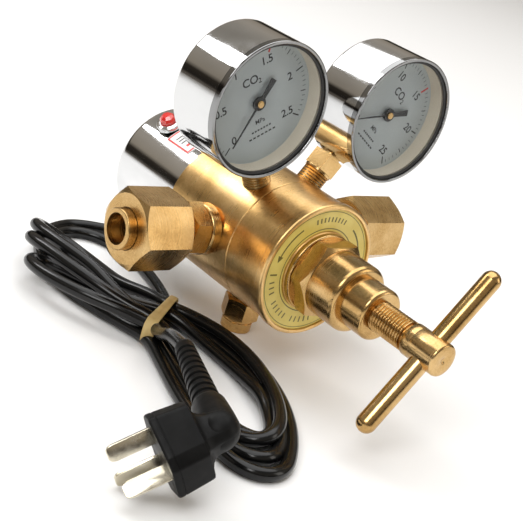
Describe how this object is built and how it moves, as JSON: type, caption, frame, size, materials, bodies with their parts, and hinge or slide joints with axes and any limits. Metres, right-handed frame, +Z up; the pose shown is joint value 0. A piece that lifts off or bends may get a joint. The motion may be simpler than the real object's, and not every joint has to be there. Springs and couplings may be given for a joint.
{
  "type": "heated carbon dioxide regulator",
  "caption": "Brass pressure regulator for carbon dioxide with round dial gauges, a T-handled adjusting screw, a chromed heater can and a tied mains lead.",
  "frame": {"origin": "centre of the sealing face of the inlet washer, on the inlet's axis", "axes": "+X out of the inlet towards the cylinder valve, -Y along the adjusting screw to its T-handle, +Z up towards the gauges"},
  "size_m": [0.2314, 0.2652, 0.1478],
  "materials": {
    "brass": "machined and polished brass",
    "chrome": "bright chrome plate",
    "label": "printed yellow ring",
    "can_label": "white label with a red border",
    "spring_steel": "bright spring steel",
    "seal_rubber": "black rubber",
    "seal_fibre": "white sealing plastic",
    "sintered": "sintered bronze",
    "heater_ceramic": "wound ceramic sleeve",
    "lamp_red": "transparent red lens",
    "black_plastic": "moulded black PVC",
    "cord_black": "black PVC cord sheath",
    "band_tan": "tan rubber band",
    "pin_metal": "nickelled brass pins",
    "glass": "clear flat window",
    "dial_white": "pale printed dial",
    "needle_black": "black painted needle"
  },
  "bodies": {
    "regulator": {"body": "brass", "bonnet": "brass", "can_label": "can_label", "can_screws": "chrome", "cord_gland": "black_plastic", "cord_hank": "cord_black", "cord_lead": "cord_black", "diaphragm": "seal_rubber", "front_cap": "brass", "heater_block": "brass", "heater_can": "chrome", "heater_winding": "heater_ceramic", "high_gauge_bezel": "chrome", "high_gauge_bourdon_tube": "brass", "high_gauge_case": "chrome", "high_gauge_dial": "dial_white", "high_gauge_movement_frame": "brass", "high_gauge_stem": "brass", "high_gauge_window": "glass", "inlet_filter": "sintered", "inlet_nipple": "brass", "inlet_washer": "seal_fibre", "label_ring": "label", "lamp_holder": "chrome", "lamp_lens": "lamp_red", "low_gauge_bezel": "chrome", "low_gauge_bourdon_tube": "brass", "low_gauge_case": "chrome", "low_gauge_dial": "dial_white", "low_gauge_movement_frame": "brass", "low_gauge_stem": "brass", "low_gauge_window": "glass", "outlet_fitting": "brass", "plug_body": "black_plastic", "plug_pins": "pin_metal", "regulating_spring": "spring_steel", "relief_body": "brass", "relief_cap": "brass", "relief_spring": "spring_steel", "rubber_band": "band_tan", "thermostat": "heater_ceramic", "valve_seat": "brass", "valve_spring": "spring_steel"},
    "screw": {"adjusting_screw": "brass", "handle_bar": "brass"},
    "button": {"spring_button": "spring_steel"},
    "valve": {"diaphragm_plate": "spring_steel", "valve_poppet": "brass"},
    "relief_valve": {"relief_poppet": "brass"},
    "tailpiece": {"outlet_tailpiece": "brass"},
    "union_nut": {"outlet_nut": "brass"},
    "cylinder_nut": {"inlet_nut": "brass"},
    "low_gauge_needle": {"low_gauge_pointer": "needle_black", "low_gauge_pinion": "brass"},
    "low_gauge_sector": {"low_gauge_sector": "brass"},
    "low_gauge_link": {"low_gauge_link": "brass"},
    "high_gauge_needle": {"high_gauge_pointer": "needle_black", "high_gauge_pinion": "brass"},
    "high_gauge_sector": {"high_gauge_sector": "brass"},
    "high_gauge_link": {"high_gauge_link": "brass"}
  },
  "joints": [
    {"name": "screw_turn", "type": "hinge", "parent": "button", "child": "screw", "pos_m": [-0.074, -0.1, 0], "axis": [0, 1, 0], "range_deg": [0, 2160]},
    {"name": "button_slide", "type": "slide", "parent": "regulator", "child": "button", "axis": [0, 1, 0], "range_m": [0, 0.009], "deforming": ["regulating_spring"]},
    {"name": "valve_lift", "type": "slide", "parent": "regulator", "child": "valve", "axis": [0, 1, 0], "range_m": [0, 0.0012], "deforming": ["diaphragm", "valve_spring"]},
    {"name": "relief_lift", "type": "slide", "parent": "regulator", "child": "relief_valve", "axis": [0, 0, -1], "range_m": [0, 0.0015], "stiffness_N_per_m": 600, "springref_m": -0.002, "deforming": ["relief_spring"]},
    {"name": "outlet_nut_turn", "type": "hinge", "parent": "tailpiece", "child": "union_nut", "pos_m": [-0.137, 0, 0], "axis": [-1, 0, 0], "range_deg": [-2340, 0]},
    {"name": "tailpiece_slide", "type": "slide", "parent": "regulator", "child": "tailpiece", "axis": [-1, 0, 0], "range_m": [0, 0.0119]},
    {"name": "cylinder_nut_spin", "type": "hinge", "parent": "regulator", "child": "cylinder_nut", "pos_m": [-0.004, 0, 0], "axis": [1, 0, 0], "continuous": true},
    {"name": "low_gauge_sector_turn", "type": "hinge", "parent": "regulator", "child": "low_gauge_sector", "pos_m": [-0.10568, -0.014, 0.05272], "axis": [0, -1, 0], "range_deg": [0, 34.66], "stiffness_Nm_per_rad": 0.002, "deforming": ["low_gauge_bourdon_tube"]},
    {"name": "low_gauge_needle_turn", "type": "hinge", "parent": "regulator", "child": "low_gauge_needle", "pos_m": [-0.11443, -0.014, 0.06729], "axis": [0, 1, 0], "range_deg": [0, 259.95]},
    {"name": "low_gauge_link_turn", "type": "hinge", "parent": "low_gauge_sector", "child": "low_gauge_link", "pos_m": [-0.09779, -0.014, 0.05512], "axis": [0, -1, 0], "range_deg": [-34.66, 0]},
    {"name": "high_gauge_sector_turn", "type": "hinge", "parent": "regulator", "child": "high_gauge_sector", "pos_m": [-0.04233, -0.014, 0.05272], "axis": [0, -1, 0], "range_deg": [0, 34.66], "stiffness_Nm_per_rad": 0.002, "deforming": ["high_gauge_bourdon_tube"]},
    {"name": "high_gauge_needle_turn", "type": "hinge", "parent": "regulator", "child": "high_gauge_needle", "pos_m": [-0.03357, -0.014, 0.06729], "axis": [0, 1, 0], "range_deg": [0, 259.95]},
    {"name": "high_gauge_link_turn", "type": "hinge", "parent": "high_gauge_sector", "child": "high_gauge_link", "pos_m": [-0.0365, -0.014, 0.04688], "axis": [0, -1, 0], "range_deg": [-34.66, 0]}
  ],
  "couplings": [
    {"joint": "button_slide", "follows": "screw_turn", "m_per_rad": 0.00023873},
    {"joint": "valve_lift", "follows": "screw_turn", "m_per_rad": 0.000031566},
    {"joint": "tailpiece_slide", "follows": "outlet_nut_turn", "m_per_rad": -0.00028871},
    {"joint": "low_gauge_needle_turn", "follows": "low_gauge_sector_turn", "ratio": 7.5},
    {"joint": "low_gauge_link_turn", "follows": "low_gauge_sector_turn", "ratio": -1},
    {"joint": "high_gauge_needle_turn", "follows": "high_gauge_sector_turn", "ratio": 7.5},
    {"joint": "high_gauge_link_turn", "follows": "high_gauge_sector_turn", "ratio": -1}
  ]
}
